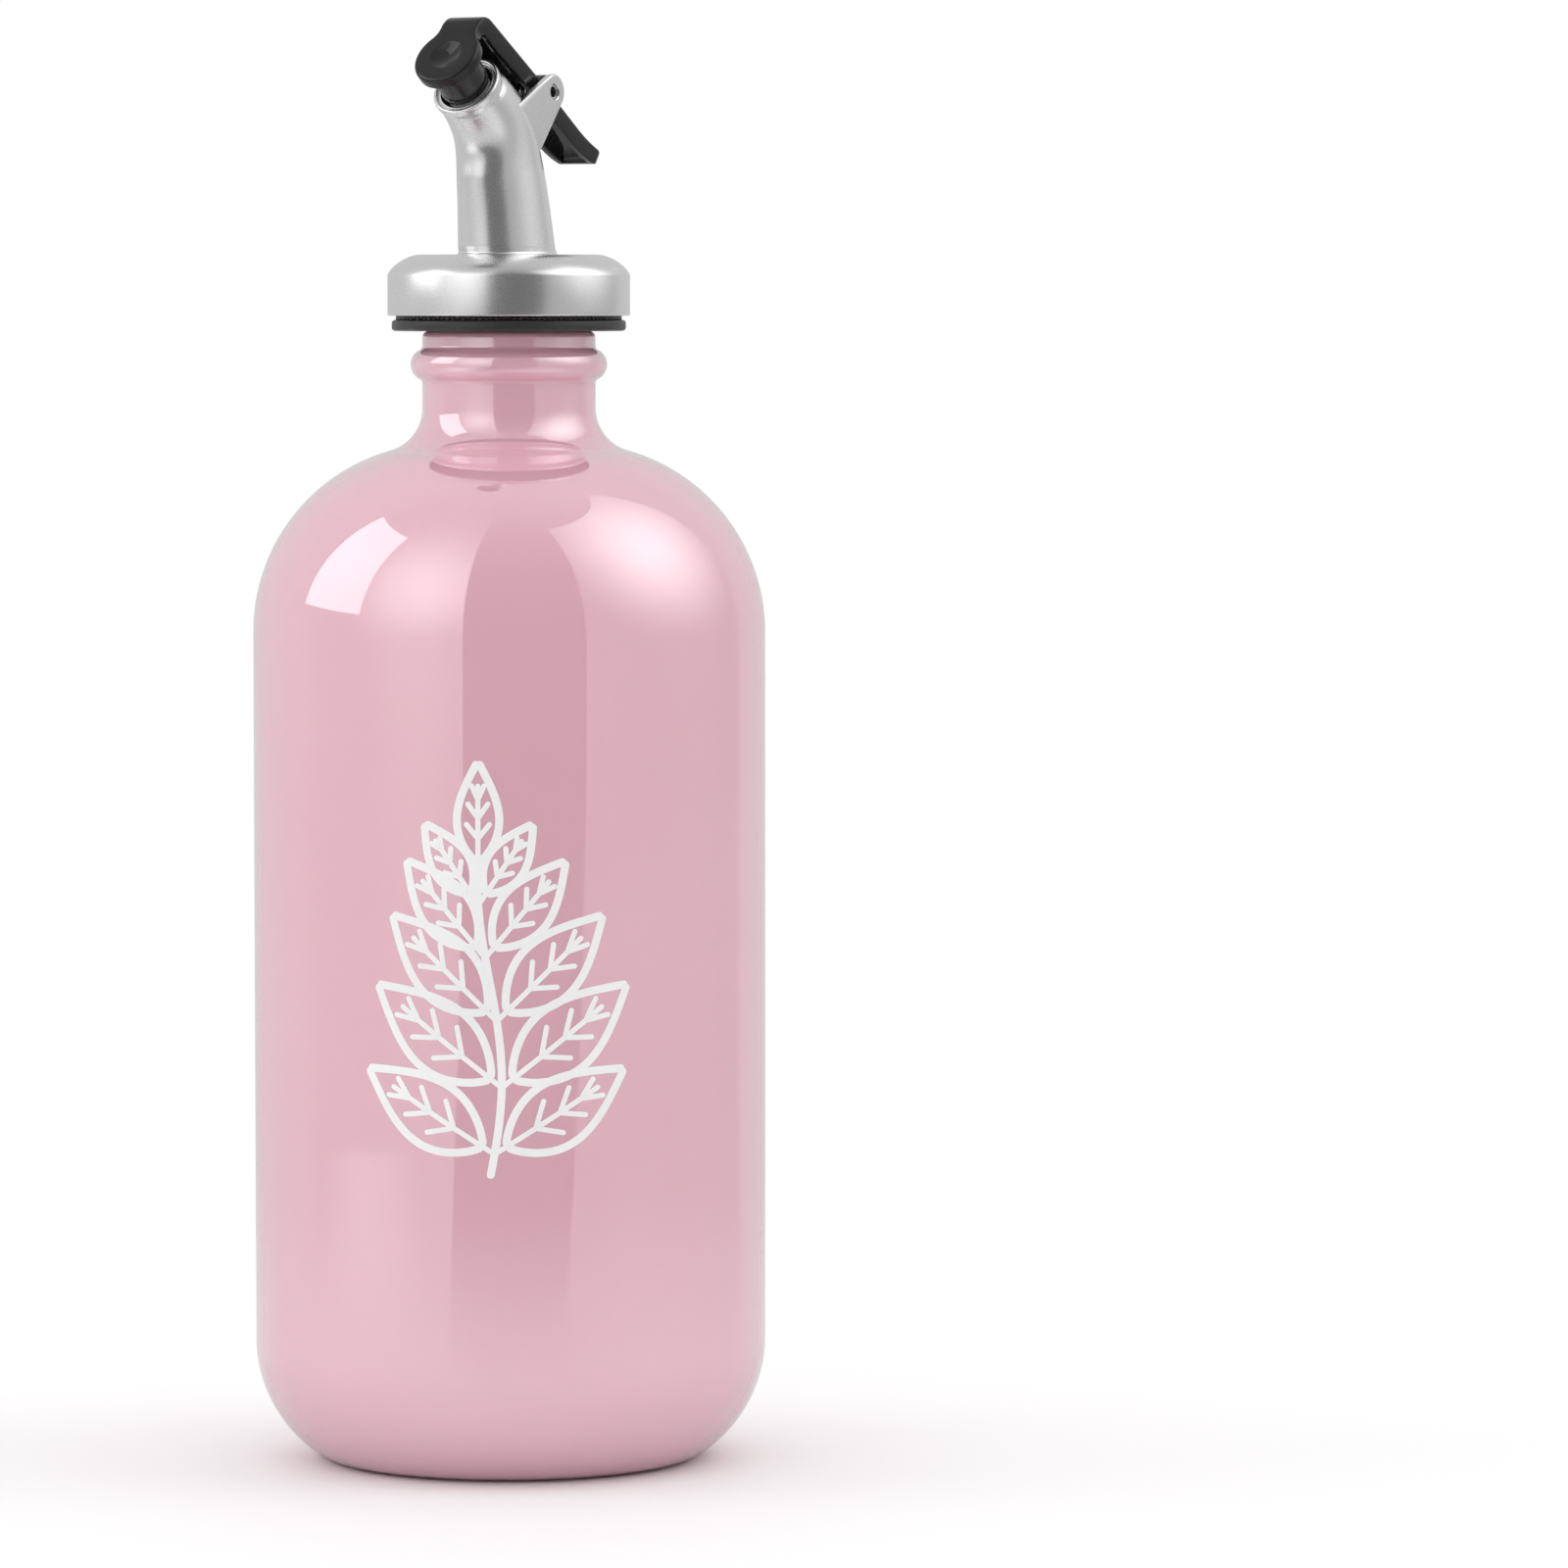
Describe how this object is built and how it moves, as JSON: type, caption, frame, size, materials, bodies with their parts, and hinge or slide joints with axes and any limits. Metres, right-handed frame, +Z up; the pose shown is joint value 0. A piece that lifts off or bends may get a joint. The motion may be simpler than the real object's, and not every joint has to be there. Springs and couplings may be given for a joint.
{
  "type": "mouthwash bottle with lever pourer",
  "caption": "Round pink glass bottle with a beaded neck, closed by a push-in stopper pourer whose sprung lever lifts a plug off the spout's mouth.",
  "frame": {"origin": "centre of the bottle's foot ring, on the surface it stands on", "axes": "+Z up along the bottle's axis, -Y towards the spout, +X to the right seen from the front"},
  "size_m": [0.075, 0.075, 0.2109],
  "materials": {
    "pink_glass": "gloss, tinted pink",
    "black_rubber": "matt",
    "black_plastic": "satin",
    "pale_plastic": "satin",
    "satin_silver": "satin",
    "grey_plastic": "gloss",
    "steel": "brushed",
    "gloss_black": "gloss"
  },
  "bodies": {
    "bottle": {"glass_bottle": "pink_glass"},
    "pourer": {"stopper_sleeve": "black_rubber", "pour_core": "black_plastic", "vent_tube": "pale_plastic", "spout_shell": "satin_silver", "spout_liner": "grey_plastic", "hinge_pin": "steel", "return_spring": "steel"},
    "lever_arm": {"lever": "gloss_black", "lever_plug": "black_rubber"}
  },
  "joints": [
    {"name": "pourer_lift", "type": "slide", "parent": "bottle", "child": "pourer", "axis": [0, 0, 1], "range_m": [0, 0.04]},
    {"name": "lever_press", "type": "hinge", "parent": "pourer", "child": "lever_arm", "pos_m": [0, 0.0045, 0.2], "axis": [-1, 0, 0], "range_deg": [0, 40], "stiffness_Nm_per_rad": 0.01, "springref_deg": -34.38, "deforming": ["return_spring"]}
  ]
}
